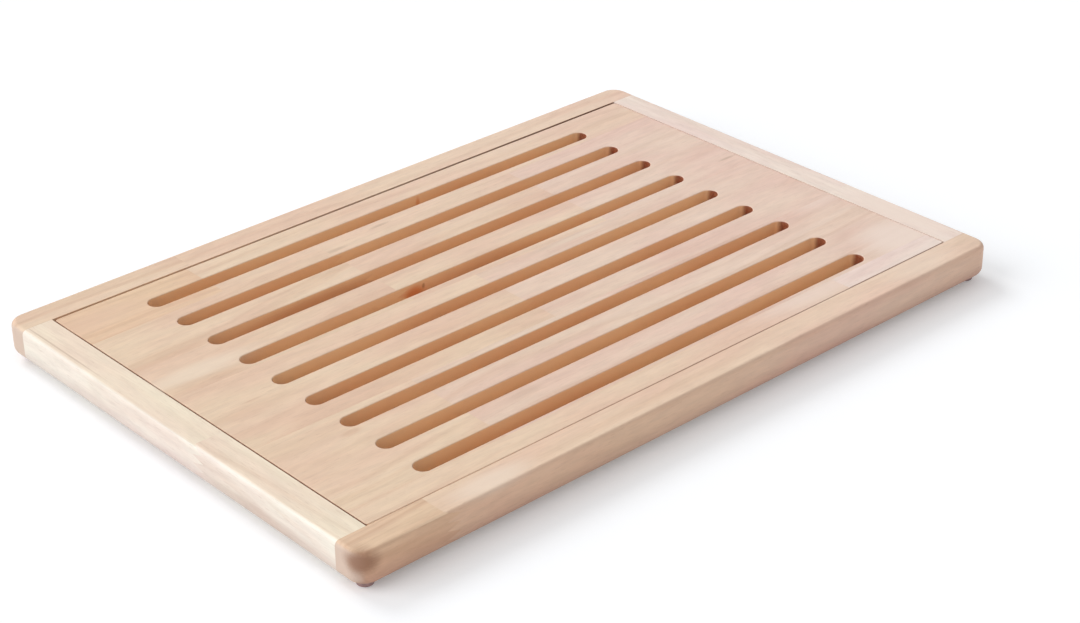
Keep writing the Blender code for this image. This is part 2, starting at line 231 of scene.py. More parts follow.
class StageSettings(PropertyGroup):
    """The floor, the lamps and the camera."""

    floor_colour: colour("Floor", "Plain pale floor", 240, 242, 245)
    floor_reach: amount("Floor reach", "Half the floor's width", 6, unit="LENGTH")
    floor_glow: amount("Floor glow", "White that only the camera sees", 0.19)
    sky: amount("Sky", "Strength of the even light from all round", 0.55)
    key: amount("Key lamp", "Strength of the lamp at the left", 1.45)
    key_spread: angle("Key spread", "How wide the lamp at the left looks, which softens its shadows", 50)
    back: amount("Back lamp", "Strength of the lamp at the back", 0.79)
    back_spread: angle("Back spread", "How wide the lamp at the back looks", 25)


class BreadBoardSettings(PropertyGroup):
    """All that can be changed about the bread board."""

    frame: PointerProperty(type=FrameSizes)
    floor: PointerProperty(type=FloorSizes)
    grid: PointerProperty(type=GridSizes)
    fittings: PointerProperty(type=FittingSizes)
    finishes: PointerProperty(type=Finishes)
    stage: PointerProperty(type=StageSettings)


def settings():
    return bpy.context.scene.bread_board


# Shapes
def lofted(rings):
    """A closed surface through rings of points, one above another, with a flat face over each end.

    rings is an array of levels by points by three. A point depends on its place round the ring and on its
    level.
    """
    rings = np.asarray(rings, dtype=float)
    levels, count = rings.shape[:2]
    index = np.arange(levels * count).reshape(levels, count)
    following = np.roll(index, -1, axis=1)
    sides = np.stack((index[:-1], following[:-1], following[1:], index[1:]), axis=-1).reshape(-1, 4)
    faces = sides.tolist() + [index[0, ::-1].tolist(), index[-1].tolist()]
    return rings.reshape(-1, 3), faces


def mesh_of(name, points, faces):
    """A mesh with its doubles merged and its faces turned outwards."""
    mesh = bpy.data.meshes.new(name)
    mesh.from_pydata(np.asarray(points).tolist(), [], faces)
    bm = bmesh.new()
    bm.from_mesh(mesh)
    bmesh.ops.remove_doubles(bm, verts=bm.verts, dist=SAME_POINT)
    bmesh.ops.recalc_face_normals(bm, faces=bm.faces)
    bm.to_mesh(mesh)
    bm.free()
    return mesh


def joined(shapes):
    """Several shapes as one, with the later ones' faces counted on from the earlier ones' points."""
    points, faces, start = [], [], 0
    for part_points, part_faces in shapes:
        points.append(part_points)
        faces += [[corner + start for corner in face] for face in part_faces]
        start += len(part_points)
    return np.concatenate(points), faces


def prism(outline, axis, low, high):
    """An outline in two axes, carried along the third one from low to high."""
    outline = np.asarray(outline, dtype=float)
    levels = np.full((2, len(outline)), ((low,), (high,)))
    return lofted(np.insert(np.stack((outline, outline)), axis, levels, axis=2))


def rounded_block(low, high, corner, bottom, top, corner_steps, edge_steps):
    """A box with round corners in plan and rounded edges.

    Each point is its corner's centre, plus the corner's radius less the edge's inset, in the corner's
    direction. The inset and the height follow a quarter circle at the bottom and another one at the top.
    """
    low, high = np.asarray(low), np.asarray(high)
    quarter = np.linspace(0, np.pi / 2, corner_steps + 1)
    angles = np.concatenate([quarter + turn * np.pi / 2 for turn in range(4)])
    signs = np.repeat(((1, 1), (-1, 1), (-1, -1), (1, -1)), corner_steps + 1, axis=0)
    middle, half = (low + high)[:2] / 2, (high - low)[:2] / 2
    centres = middle + signs * (half - corner)
    directions = np.stack((np.cos(angles), np.sin(angles)), axis=1)
    rise = np.linspace(0, np.pi / 2, edge_steps + 1)
    insets = np.concatenate((bottom * (1 - np.sin(rise)), top * (1 - np.cos(rise))))
    heights = np.concatenate((low[2] + bottom * (1 - np.cos(rise)), high[2] - top * (1 - np.sin(rise))))
    plan = centres[None] + (corner - insets)[:, None, None] * directions[None]
    levels = np.repeat(heights[:, None, None], len(angles), axis=1)
    return lofted(np.concatenate((plan, levels), axis=2))


def turned(profile, sides, flutes=0, flute_depth=0.0):
    """A profile of radius and height turned about Z. Flutes take a cosine wave off the radius."""
    profile = np.asarray(profile, dtype=float)
    angles = np.linspace(0, 2 * np.pi, sides, endpoint=False)
    wave = flute_depth * (1 - np.cos(flutes * angles)) / 2
    radii = profile[:, :1] - wave[None]
    heights = np.repeat(profile[:, 1:], sides, axis=1)
    return lofted(np.stack((radii * np.cos(angles), radii * np.sin(angles), heights), axis=2))


def moved(shape, place):
    return shape[0] + np.asarray(place), shape[1]


def laid_along_y(shape, direction):
    """A shape that stands on Z = 0, laid down along Y."""
    points = shape[0]
    return np.stack((points[:, 0], direction * points[:, 2], points[:, 1]), axis=1), shape[1]


def quarter_turned(shape, turns):
    """A shape turned about Z by whole quarter turns, which keep its points exact."""
    points = shape[0].copy()
    for _ in range(turns):
        points = np.stack((-points[:, 1], points[:, 0], points[:, 2]), axis=1)
    return points, shape[1]


def fingers(place, low, high, finger_length, finger_count):
    """The edge of a finger joint: the run swings by half a finger each way as the height goes up evenly."""
    steps = np.arange(2 * finger_count + 1)
    runs = place + np.where(steps % 2, finger_length / 2, -finger_length / 2)
    heights = low + (high - low) * steps / (2 * finger_count)
    runs = np.concatenate((runs[:1], runs, runs[-1:]))
    heights = np.concatenate(((low - OVERRUN,), heights, (high + OVERRUN,)))
    return np.stack((runs, heights), axis=1)


def plain_end(place, low, high):
    """A straight end: the same run below and above the wood."""
    return np.array(((place, low - OVERRUN), (place, high + OVERRUN)))


def block_outline(start, end, seam):
    """The outline between two edges, both given from below to above, with a seam after the first one."""
    return np.concatenate((start[::-1] + (seam, 0), end))


def share_of(low, high, share):
    return low + (high - low) * share


# Pieces
def linked(name, data):
    """A new object in the scene."""
    obj = bpy.data.objects.new(name, data)
    bpy.context.scene.collection.objects.link(obj)
    return obj


def guide(name, shape):
    """An object of that shape: a piece, or a cutter or a blank that is deleted after the cuts."""
    return linked(name, mesh_of(name, *shape))


def discard(objects):
    for obj in objects:
        mesh = obj.data
        bpy.data.objects.remove(obj)
        bpy.data.meshes.remove(mesh)


def finish_piece(obj, node, body, material):
    """Shade a piece, give it its finish, and let it ride in place of its CAD node."""
    obj.data.shade_smooth()
    obj.data.set_sharp_from_angle(angle=SHARP_ANGLE)
    shading = obj.modifiers.new("even_shading", "WEIGHTED_NORMAL")
    shading.keep_sharp = True
    obj.data.materials.clear()
    obj.data.materials.append(material)
    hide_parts(node)
    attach(obj, body)


def cut_piece(name, shape, trimmers):
    """The shape after each trimmer has cut it, or kept what both fill."""
    obj = guide(name, shape)
    for number, (trimmer, operation) in enumerate(trimmers):
        modifier = obj.modifiers.new(f"trim_{number}", "BOOLEAN")
        modifier.operation = operation
        modifier.object = trimmer
        modifier.solver = "EXACT"
    graph = bpy.context.evaluated_depsgraph_get()
    rough = obj.data
    obj.data = bpy.data.meshes.new_from_object(obj.evaluated_get(graph))
    obj.data.name = name
    obj.modifiers.clear()
    bpy.data.meshes.remove(rough)
    if not obj.data.polygons:
        raise RuntimeError(f"{name} has no wood left after its cuts")
    return obj


def opening():
    """Half the length and half the width of the opening that the rails leave."""
    rail_width = settings().frame.rail_width
    return board_size[0] / 2 - rail_width, board_size[1] / 2 - rail_width


def wood_heights():
    """The lowest and the highest Z of the wood, which stands on its feet."""
    low = settings().fittings.foot_height
    return low, low + settings().frame.height


def envelope():
    """The outside of the glued-up frame."""
    sizes, (bottom, top) = settings().frame, wood_heights()
    low, high = (-board_size[0] / 2, -board_size[1] / 2, bottom), (board_size[0] / 2, board_size[1] / 2, top)
    rounding = (sizes.corner_radius, sizes.bottom_radius, sizes.top_radius)
    return guide("envelope", rounded_block(low, high, *rounding, corner_steps=20, edge_steps=8))


def rail_blank(run_length, ledge_length):
    """A square-ended rail from its outer face inwards, with a shorter ledge that carries the grid.

    Its section is carried along the run, and has no ledge before the first and after the last ledge end.
    """
    sizes, (bottom, top) = settings().frame, wood_heights()
    half, ledge_half = run_length / 2, ledge_length / 2
    inner = sizes.rail_width + sizes.ledge_width
    ledge_top = bottom + sizes.ledge_height
    low, high = bottom - 2 * OVERRUN, top + 2 * OVERRUN
    across = np.array((-OVERRUN, inner, inner, sizes.rail_width, sizes.rail_width, -OVERRUN))
    plain = np.minimum(across, sizes.rail_width)
    heights = np.array((low, low, ledge_top, ledge_top, high, high))
    stations = ((-half, plain), (-ledge_half, plain), (-ledge_half, across))
    stations += ((ledge_half, across), (ledge_half, plain), (half, plain))
    return lofted([np.stack((np.full(6, run), places, heights), axis=1) for run, places in stations])


def rail_lengths(is_long):
    """A rail's blank and its ledge. The short rails butt against the long ones, whose ledges stop there."""
    sizes = settings().frame
    half_x, half_y = opening()
    if is_long:
        return board_size[0] + 2 * OVERRUN, 2 * half_x - 2 * sizes.seam
    return 2 * half_y - 2 * sizes.seam, 2 * (half_y - sizes.ledge_width - sizes.seam)


def floor_groove():
    """The room for the floor: the opening less what the ledge keeps, from below to above the panel."""
    sizes, fittings = settings().floor, settings().fittings
    reach = settings().frame.ledge_width - sizes.groove_depth
    half_x, half_y = (half - reach for half in opening())
    low = fittings.foot_height + sizes.recess - sizes.clearance
    high = low + sizes.thickness + 2 * sizes.clearance
    outline = ((-half_x, -half_y), (half_x, -half_y), (half_x, half_y), (-half_x, half_y))
    return guide("floor_groove", prism(outline, 2, low, high))


def dowel_places():
    """Each dowel's name, its outer end, and the way it points: from the long rail into the short one."""
    sizes, fittings = settings().frame, settings().fittings
    middle = (board_size[0] - sizes.rail_width) / 2
    height = fittings.foot_height + sizes.height / 2
    for corner, side_x, side_y in CORNERS:
        start = side_y * (opening()[1] + fittings.dowel_depth)
        for row, offset in (("inner", -0.5), ("outer", 0.5)):
            x = side_x * (middle + offset * fittings.dowel_spacing)
            yield f"dowel_{corner}_{row}", (x, start, height), -side_y


def round_hole(diameter, low, high):
    """The hole for a pin of that diameter, with the play round it."""
    radius = diameter / 2 + settings().fittings.hole_clearance
    return turned(((radius, low), (radius, high)), HOLE_SIDES)


def dowel_holes():
    sizes = settings().fittings
    hole = round_hole(sizes.dowel_diameter, -sizes.hole_end, sizes.dowel_length + sizes.hole_end)
    shapes = [moved(laid_along_y(hole, way), place) for _, place, way in dowel_places()]
    return guide("dowel_holes", joined(shapes))


def foot_places():
    """Each foot's name, and the point under its middle on the table."""
    inset = settings().fittings.foot_inset
    for corner, side_x, side_y in CORNERS:
        place = (side_x * (board_size[0] / 2 - inset), side_y * (board_size[1] / 2 - inset), 0)
        yield f"foot_{corner}", place


def stem_holes():
    sizes = settings().fittings
    high = sizes.foot_height + sizes.stem_length + sizes.hole_clearance
    hole = round_hole(sizes.stem_diameter, sizes.foot_height - OVERRUN, high)
    return guide("stem_holes", joined([moved(hole, place) for _, place in foot_places()]))


def make_rail(name, turns, joint_share, trimmers):
    """A rail's two blocks, with a finger joint between them."""
    sizes, (low, high) = settings().frame, wood_heights()
    is_long = turns % 2 == 0
    run_length, ledge_length = rail_lengths(is_long)
    half = run_length / 2
    outward = (0, -board_size[1 if is_long else 0] / 2, 0)

    def placed(shape):
        return quarter_turned(moved(shape, outward), turns)

    blank = guide(f"{name}_blank", placed(rail_blank(run_length, ledge_length)))
    joint = fingers(share_of(-half, half, joint_share), low, high, sizes.finger_length, sizes.finger_count)
    ends = (plain_end(-half - OVERRUN, low, high), joint, plain_end(half + OVERRUN, low, high))
    depth = sizes.rail_width + sizes.ledge_width + OVERRUN
    for index in range(2):
        node = f"{name}_block_{index + 1}"
        outline = block_outline(ends[index], ends[index + 1], sizes.seam * index)
        shape = placed(prism(outline, 1, -2 * OVERRUN, depth))
        piece = cut_piece(f"{node}_wood", shape, ((blank, "INTERSECT"), *trimmers))
        finish_piece(piece, node, "tray", wood_for(node))
    discard([blank])


# The grid
def grid_box():
    """The lowest and the highest corner of the grid."""
    grid, top = settings().grid, wood_heights()[1]
    half_x, half_y = opening()
    low = (-half_x + grid.gap_left, -half_y + grid.gap_near, top - grid.thickness)
    return np.array(low), np.array((half_x - grid.gap_right, half_y - grid.gap_far, top))


def slot_centres():
    """The Y of each slot's middle, from the far side."""
    sizes = settings().grid
    low, high = grid_box()
    first = high[1] - sizes.side_margin - sizes.slot_width / 2
    last = low[1] + sizes.side_margin + sizes.slot_width / 2
    return np.linspace(first, last, sizes.slot_count)


def slot_cutter():
    """A straight slot with round ends and rounded edges, at Y = 0.

    The radius grows by a quarter circle at the grid's upper and at its lower face.
    """
    sizes = settings().grid
    low, high = grid_box()
    radius, edge = sizes.slot_width / 2, sizes.slot_edge
    half_run = (high[0] - low[0]) / 2 - sizes.end_margin - radius
    rise = np.linspace(0, np.pi / 2, SLOT_EDGE_POINTS)
    grown = edge * (1 - np.cos(rise))
    lift = edge * np.sin(rise)
    radii = radius + np.concatenate(((edge,), grown[::-1], grown, (edge,)))
    heights = np.concatenate((low[2] + edge - lift[::-1], high[2] - edge + lift))
    heights = np.concatenate(((low[2] - OVERRUN,), heights, (high[2] + OVERRUN,)))
    arc = np.linspace(-np.pi / 2, np.pi / 2, SLOT_END_POINTS)
    angles = np.concatenate((arc, arc + np.pi))
    shift = np.repeat((half_run, -half_run), len(arc))
    x = (low[0] + high[0]) / 2 + shift[None] + radii[:, None] * np.cos(angles)
    y = radii[:, None] * np.sin(angles)
    z = np.repeat(heights[:, None], len(angles), axis=1)
    return lofted(np.stack((x, y, z), axis=2))


def land(slots_beyond):
    """The far and the near Y of the wood on the near side of that many slots."""
    centres, radius = slot_centres(), settings().grid.slot_width / 2
    near = centres[slots_beyond] + radius if slots_beyond < len(centres) else grid_box()[0][1]
    return centres[slots_beyond - 1] - radius, near


def glue_lines():
    """Each glue line as its Y at the grid's left and right end, between lines past the grid's sides."""
    low, high = grid_box()
    lines = [np.full(2, high[1] + OVERRUN)]
    for slots_beyond, shares in GLUE_LINES:
        lines.append(share_of(*land(slots_beyond), np.array(shares)))
    return lines + [np.full(2, low[1] - OVERRUN)]


def stave_piece(outline, far, near, seam):
    """An outline in X and Z, carried from the near to the far glue line, which may slant."""
    low, high = grid_box()
    share = (outline[:, 0] - low[0]) / (high[0] - low[0])
    rings = []
    for line, inset in ((near, seam / 2), (far, -seam / 2)):
        rings.append(np.stack((outline[:, 0], share_of(*line, share) + inset, outline[:, 1]), axis=1))
    return lofted(rings)


def stave_cuts(far, near, is_middle):
    """The lines that bound a block. The slots leave a block that reaches neither end as separate bars."""
    inner = [np.full(2, y) for y in slot_centres() if near[0] < y < far[0]] if is_middle else []
    cuts = [far, *inner, near]
    return list(zip(cuts, cuts[1:]))


# Finishes
class Nodes:
    """The nodes of a material or of the world, added and joined in one go."""

    def __init__(self, owner):
        owner.use_nodes = True
        self.owner = owner
        self.tree = owner.node_tree
        self.tree.nodes.clear()

    def add(self, kind, inputs=(), output=0, **choices):
        """Add a node, set its choices, join or set its inputs, and return one of its outputs."""
        node = self.tree.nodes.new(f"ShaderNode{kind}")
        for choice, value in choices.items():
            setattr(node, choice, value)
        for socket, value in dict(inputs).items():
            if isinstance(value, NodeSocket):
                self.tree.links.new(value, node.inputs[socket])
            else:
                node.inputs[socket].default_value = value
        return node.outputs[output] if len(node.outputs) else node

    def calculate(self, operation, *values, clamp=False):
        return self.add("Math", enumerate(values), operation=operation, use_clamp=clamp)

    def times(self, *values, clamp=False):
        return self.calculate("MULTIPLY", *values, clamp=clamp)

    def move(self, operation, *values, output=0):
        return self.add("VectorMath", enumerate(values), output=output, operation=operation)

    def axis(self, vector, number):
        """One part of a vector, by the number of its axis."""
        return self.add("SeparateXYZ", {0: vector}, output=number)

    def facing(self, number):
        """How squarely the surface faces along an axis, one way or the other, from 0 to 1."""
        normal = self.add("TexCoord", output="Normal")
        return self.calculate("ABSOLUTE", self.axis(normal, number))

    def millimetres(self, turn=0.0):
        """The place on the piece in millimetres, turned about Z so that X runs along the grain."""
        place = self.add("TexCoord", output="Object")
        return self.add("Mapping", {"Vector": place, "Rotation": (0, 0, turn), "Scale": (1 / MM,) * 3})

    def blend(self, share, first, second, kind="MIX"):
        """Mix two colours, each of them a node's output or three channels."""
        pair = [tone if isinstance(tone, NodeSocket) else (*tone, 1) for tone in (first, second)]
        inputs = {0: share, 6: pair[0], 7: pair[1]}
        return self.add("Mix", inputs, output=2, data_type="RGBA", blend_type=kind)

    def tinted(self, base, tint, share=1.0):
        return self.blend(share, base, tint, "MULTIPLY")

    def shaded(self, base, shade):
        """A colour with one shade on all three of its channels."""
        return self.tinted(base, self.add("CombineColor", dict.fromkeys(range(3), shade)))

    def noise(self, place, scale, detail=2.0, roughness=0.5, output=0):
        inputs = {"Vector": place, "Scale": scale, "Detail": detail, "Roughness": roughness}
        return self.add("TexNoise", inputs, output=output)

    def grain(self, place, along, across, **choices):
        """Noise that is squeezed along the grain and across it, so that it turns into streaks."""
        return self.noise(self.move("MULTIPLY", place, (along, across, across)), 1.0, **choices)

    def limits(self, value, low, high, start=0.0, end=1.0):
        """Map a value smoothly from one range onto another."""
        inputs = {"Value": value, "From Min": low, "From Max": high, "To Min": start, "To Max": end}
        return self.add("MapRange", inputs, interpolation_type="SMOOTHSTEP")

    def surface(self, base, roughness, relief, depth, strength):
        """The material, with a relief that is so many millimetres deep."""
        bump = self.add("Bump", {"Height": relief, "Distance": depth * MM, "Strength": strength})
        shader = self.add("BsdfPrincipled", {"Base Color": base, "Roughness": roughness, "Normal": bump})
        self.add("OutputMaterial", {"Surface": shader})
        return self.owner


# Each block's wood: its colour, how strong its figure is, and the pith's distance across and below, in
# millimetres. Blocks that aren't named take the ordinary wood.
ORDINARY = ("pale", 0.18, 38.0, 55.0)
BLOCK_WOODS = {
    "long_rail_near_block_1": ("tan", 0.38, 14.0, 30.0),
    "long_rail_near_block_2": ("pale", 0.18, -30.0, 60.0),
    "long_rail_far_block_1": ("pale", 0.18, 44.0, 48.0),
    "long_rail_far_block_2": ("pale", 0.26, 22.0, 36.0),
    "short_rail_left_block_1": ("cream", 0.14, 52.0, 30.0),
    "short_rail_left_block_2": ("cream", 0.16, -40.0, 44.0),
    "short_rail_right_block_1": ("blush", 0.12, 34.0, 40.0),
    "short_rail_right_block_2": ("blush", 0.16, -48.0, 36.0),
    "grid_stave_1_block_1": ("honey", 0.26, 20.0, 34.0),
    "grid_stave_2_block_1": ("pale", 0.22, -26.0, 40.0),
    "grid_stave_2_block_3": ("rose", 0.12, 50.0, 44.0),
    "grid_stave_3_block_1": ("pale", 0.18, 60.0, 42.0),
    "grid_stave_3_block_2": ("rose", 0.18, 18.0, 46.0),
    "grid_stave_4_block_2": ("rose", 0.22, -22.0, 38.0),
    "grid_stave_5_block_1": ("pale", 0.18, 40.0, 30.0),
    "grid_stave_5_block_2": ("pink", 0.10, 60.0, 60.0),
}

# Marks in the wood: the block, the mark's middle and half its size in millimetres, its colour and how
# strong it is. The three lengths run along the grain, across it and up. On the short rails the grain runs
# along Y, and what is across it is -X. Three of them paint shade, wholly or in part, as noted at each.
MARKS = (
    ("grid_stave_1_block_1", (-196, 124, 24), (34, 12, 9), "tan", 0.45),
    ("grid_stave_2_block_1", (-192, 38, 24), (46, 10, 9), "cream", 0.45),
    ("grid_stave_2_block_1", (-188, 66, 24), (42, 9, 9), "figure", 0.16),
    ("grid_stave_2_block_1", (-90, 64, 17), (60, 4, 7), "russet", 0.42),
    ("grid_stave_2_block_2", (-43, 34.7, 17), (9, 4, 6), "rust", 0.85),
    ("grid_stave_2_block_2", (-36, 34.7, 20), (1.4, 2, 2), "slot_end_and_shade", 0.5),
    ("grid_stave_2_block_2", (10, 36, 17), (50, 4, 7), "russet", 0.26),
    ("grid_stave_1_block_2", (33, 123.5, 17), (2, 3, 6), "rust", 0.6),
    ("grid_stave_1_block_2", (-11, 106, 24), (9, 2.2, 5), "smoke_and_shade", 0.55),
    ("grid_stave_2_block_2", (-50, 99, 24), (11, 2.0, 5), "smoke_and_shade", 0.45),
    ("grid_stave_2_block_3", (209, 28, 24), (8, 1.4, 5), "smoke_and_shade", 0.55),
    ("grid_stave_3_block_1", (-188, -14, 24), (46, 9, 9), "figure", 0.15),
    ("grid_stave_3_block_1", (-188, -7.4, 24), (7, 1.2, 5), "figure", 0.28),
    ("grid_stave_3_block_2", (60, 15, 24), (44, 4, 9), "smoke_and_shade", 0.20),
    ("grid_stave_3_block_2", (66, 14, 24), (28, 2.2, 9), "cream", 0.35),
    ("grid_stave_4_block_1", (-170, -69, 24), (8, 3, 5), "figure", 0.35),
    ("grid_stave_4_block_2", (-78, -101, 24), (14, 4, 5), "smoke_and_shade", 0.25),
    ("grid_stave_5_block_1", (120, -128, 24), (60, 16, 9), "pink", 0.6),
    ("grid_stave_4_block_2", (204, -46, 24), (28, 18, 9), "pink", 0.5),
    ("grid_stave_4_block_2", (204, -118, 24), (30, 26, 9), "pink", 0.85),
    ("short_rail_right_block_1", (-95, -228, 24), (48, 12, 9), "blush", 0.8),
    # Painted shade of a crease between the left rail's flat top and its rounded edge
    ("short_rail_left_block_1", (108, 233.2, 24), (50, 0.7, 3), "smoke_and_shade", 0.5),
    # Painted shade low on the left rail's outer face, towards the table
    ("short_rail_left_block_2", (-84, 237.5, 9.5), (70, 6, 4.5), "smoke_and_shade", 0.30),
    ("long_rail_near_block_2", (-148, -153, 24), (32, 9, 6), "cream", 0.6),
    ("long_rail_near_block_2", (130, -161, 17), (110, 4, 9), "blush", 0.16),
    ("long_rail_near_block_2", (185, -150, 24), (32, 12, 6), "blush", 0.20),
    ("long_rail_near_block_2", (234, -150, 23), (22, 14, 8), "smoke_and_shade", 0.18),
    # Dark end grain at the near corner, with painted shade where the corner turns from the light
    ("long_rail_near_block_1", (-234, -157.5, 18), (11, 11, 8), "dark_end_grain_and_shade", 0.85),
)

# What the wood's colour is multiplied by in its light and dark patches, at the board's two ends, on some
# rails' outer faces (partly their own tone, partly painted light), along their edges (a painted highlight
# and painted shade), near the table (painted shade), and on the slots' walls
LIGHT_PATCH, DARK_PATCH = (1.015, 1.05, 1.035), (0.98, 0.935, 0.945)
LEFT_TINT, RIGHT_TINT = (1.0, 1.008, 0.975), (1.0, 0.997, 1.03)
SIDE_TONE_AND_LIGHT = {"long_rail_near": (1.04, 0.932, 0.883), "short_rail_left": (1.0, 1.07, 1.18)}
ARRIS_HIGHLIGHT_AND_SHADE = {
    "long_rail_near": (0.85, 0.86, 0.88),
    "long_rail_far": (0.85, 0.86, 0.88),
    "short_rail_left": (1.03, 1.09, 1.13),
}
PAINTED_LOW_SHADE = (0.82, 0.77, 0.79)
GOLDEN_WALL, RED_WALL = (1.03, 1.06, 1.06), (0.98, 0.92, 0.88)

# Along the board in metres from its middle: where the ends' tints are full, a line between the grid's left
# end and its slots, and where its right end's rim starts
DRIFT_REACH, LEFT_MARGIN, RIGHT_RIM = 0.22, -0.2, (0.2150, 0.2165)
# Across the board in millimetres: lines just past the outer slots and just behind the rails' inner sides
GRID_MARGIN, RAIL_INSIDE = 137.5, 143.0
# Heights in millimetres between which the left rail's painted arris highlight comes in and the painted shade
# near the table goes out
ARRIS_HIGHLIGHT_HEIGHTS, LOW_SHADE_HEIGHTS = (12, 20), (6, 16)

# How far the growth rings wander in millimetres, how many pieces of wood the blocks choose from, and how
# far apart these lie in the noise
RING_SWAY = 34.0
WOOD_COUNT, WOOD_STEPS = 977, (13.7, 3.1, 1.7)


def number_of(name):
    """A steady number for a name, so that each block gets its own piece of the wood."""
    return sum((place + 1) * ord(letter) for place, letter in enumerate(name)) % WOOD_COUNT


def wood_for(node):
    """Solid wood for one block, with its own growth rings, tone, figure and marks."""
    kind = node.split("_bar_")[0]
    tone, figure_strength, pith_across, pith_below = BLOCK_WOODS.get(kind, ORDINARY)
    finishes = settings().finishes
    runs_across = kind.startswith("short_rail")
    seed = number_of(kind)
    nodes = Nodes(bpy.data.materials.new(f"{kind}_wood"))
    place = nodes.millimetres(-math.pi / 2 if runs_across else 0.0)
    own = nodes.move("ADD", place, [seed * step for step in WOOD_STEPS])
    pith = (0, pith_across + 0.1 * (seed % 60), pith_below)
    rings = growth_rings(nodes, place, own, pith, float(seed))

    # Streaks, fine fibre and open pores, all long along the grain
    streaks = nodes.limits(nodes.grain(own, 0.006, 0.10, detail=3.0), 0.40, 0.80)
    fibre = nodes.grain(own, 0.05, 1.3, detail=3.0, roughness=0.65)
    pores = nodes.limits(nodes.grain(own, 0.16, 3.0, detail=1.0), 0.60, 0.74)
    figure = nodes.times(nodes.calculate("ADD", rings, streaks), figure_strength, clamp=True)
    base = nodes.blend(figure, getattr(finishes, tone), finishes.figure)

    # Broad light and dark patches, as hardwood has, mottling and the fibre's own shade, and a drift along
    # the board
    patches = nodes.limits(nodes.grain(own, 0.012, 0.04), 0.30, 0.70)
    base = nodes.tinted(base, nodes.blend(patches, LIGHT_PATCH, DARK_PATCH))
    mottle = nodes.limits(nodes.grain(own, 0.06, 0.26), 0.3, 0.7, 0.965, 1.035)
    base = nodes.shaded(base, nodes.times(mottle, nodes.limits(fibre, 0.2, 0.8, 0.965, 1.03)))
    base = nodes.blend(nodes.times(pores, 0.2), base, finishes.pore)
    along_board = nodes.axis(nodes.add("TexCoord", output="Object"), 0)
    drift = nodes.limits(along_board, -DRIFT_REACH, DRIFT_REACH)
    base = nodes.tinted(base, nodes.blend(drift, LEFT_TINT, RIGHT_TINT))

    if kind.startswith("grid"):
        base, end_share, end_tone = grid_sides(nodes, base, place, own, along_board)
    else:
        base = rail_sides(nodes, base, place, along_board, kind.split("_block_")[0])
        end_share = nodes.limits(nodes.facing(1 if runs_across else 0), 0.5, 0.95, end=0.86)
        end_tone = finishes.end_grain
    speckle = nodes.limits(nodes.noise(own, 0.9, detail=3.0), 0.3, 0.7, 0.93, 1.05)
    base = nodes.blend(nodes.times(end_share, speckle), base, end_tone)
    for block, middle, half_size, mark_tone, strength in MARKS:
        if block == kind:
            inside = nodes.move("DIVIDE", nodes.move("SUBTRACT", place, middle), half_size)
            spread = nodes.calculate("MULTIPLY_ADD", fibre, 0.3, nodes.move("LENGTH", inside, output=1))
            mark = nodes.limits(spread, 0.45, 1.35, strength, 0.0)
            base = nodes.blend(mark, base, getattr(finishes, mark_tone))
    roughness = nodes.limits(fibre, 0.2, 0.8, 0.50, 0.66)
    relief = nodes.calculate("SUBTRACT", fibre, pores)
    return nodes.surface(base, roughness, relief, depth=0.04, strength=0.35)


def growth_rings(nodes, place, own, pith, first_year):
    """Late wood: the distance from the pith, which wanders, sets how late in the season the wood grew."""
    sway = nodes.grain(own, 0.0045, 0.012, output=1)
    sway = nodes.move("MULTIPLY", nodes.move("SUBTRACT", sway, (0.5, 0.5, 0.5)), (0, RING_SWAY, RING_SWAY))
    across = nodes.move("MULTIPLY", nodes.move("ADD", nodes.move("ADD", place, sway), pith), (0, 1, 1))
    age = nodes.calculate("ADD", nodes.move("LENGTH", across, output=1), first_year)
    season = {"W": age, "Scale": 0.16, "Detail": 3.0, "Roughness": 0.62}
    return nodes.limits(nodes.add("TexNoise", season, noise_dimensions="1D"), 0.44, 0.74)


def grid_sides(nodes, base, place, own, along_board):
    """The grid's wood with its sides, and the share and the tone of its end grain.

    The slots' walls are the colour of freshly router-cut wood, partly with painted warm bounce light. The
    grid's outer sides carry painted shade from the gaps round it. Its sawn ends are dark end grain, with
    painted shade in the left gap and in the slots' round ends.
    """
    finishes = settings().finishes
    # The slots' walls: router-cut wood, partly with painted warm bounce light
    redness = nodes.limits(nodes.grain(own, 0.008, 0.034), 0.35, 0.65)
    walls = nodes.tinted(nodes.blend(redness, GOLDEN_WALL, RED_WALL), finishes.routed_and_bounce_light)
    # Painted shade in the gaps round the grid, on its outer sides, weaker towards its left end
    across_board = nodes.calculate("ABSOLUTE", nodes.axis(place, 1))
    gap_shade_strength = nodes.limits(along_board, -0.17, 0.06, 0.1, 0.8)
    gap_shade_side = nodes.times(nodes.calculate("GREATER_THAN", across_board, GRID_MARGIN), gap_shade_strength)
    walls = nodes.blend(gap_shade_side, walls, finishes.cut_end_and_gap_shade)
    base = nodes.blend(nodes.limits(nodes.facing(2), 0.15, 0.7, 0.9, 0.0), base, walls)
    gap_shade_edge = nodes.times(gap_shade_side, nodes.limits(nodes.facing(1), 0.25, 0.7))
    base = nodes.blend(gap_shade_edge, base, finishes.cut_end_and_gap_shade)
    # End grain at the grid's ends and in the slots' round ends, with painted shade in the left gap and the
    # slots' ends
    left_of_rim = nodes.limits(along_board, *RIGHT_RIM, 1.0, 0.0)
    end_share = nodes.times(nodes.limits(nodes.facing(0), 0.44, 0.93, end=0.95), left_of_rim)
    in_slots = nodes.calculate("GREATER_THAN", along_board, LEFT_MARGIN)
    return base, end_share, nodes.blend(in_slots, finishes.cut_end_and_gap_shade, finishes.slot_end_and_shade)


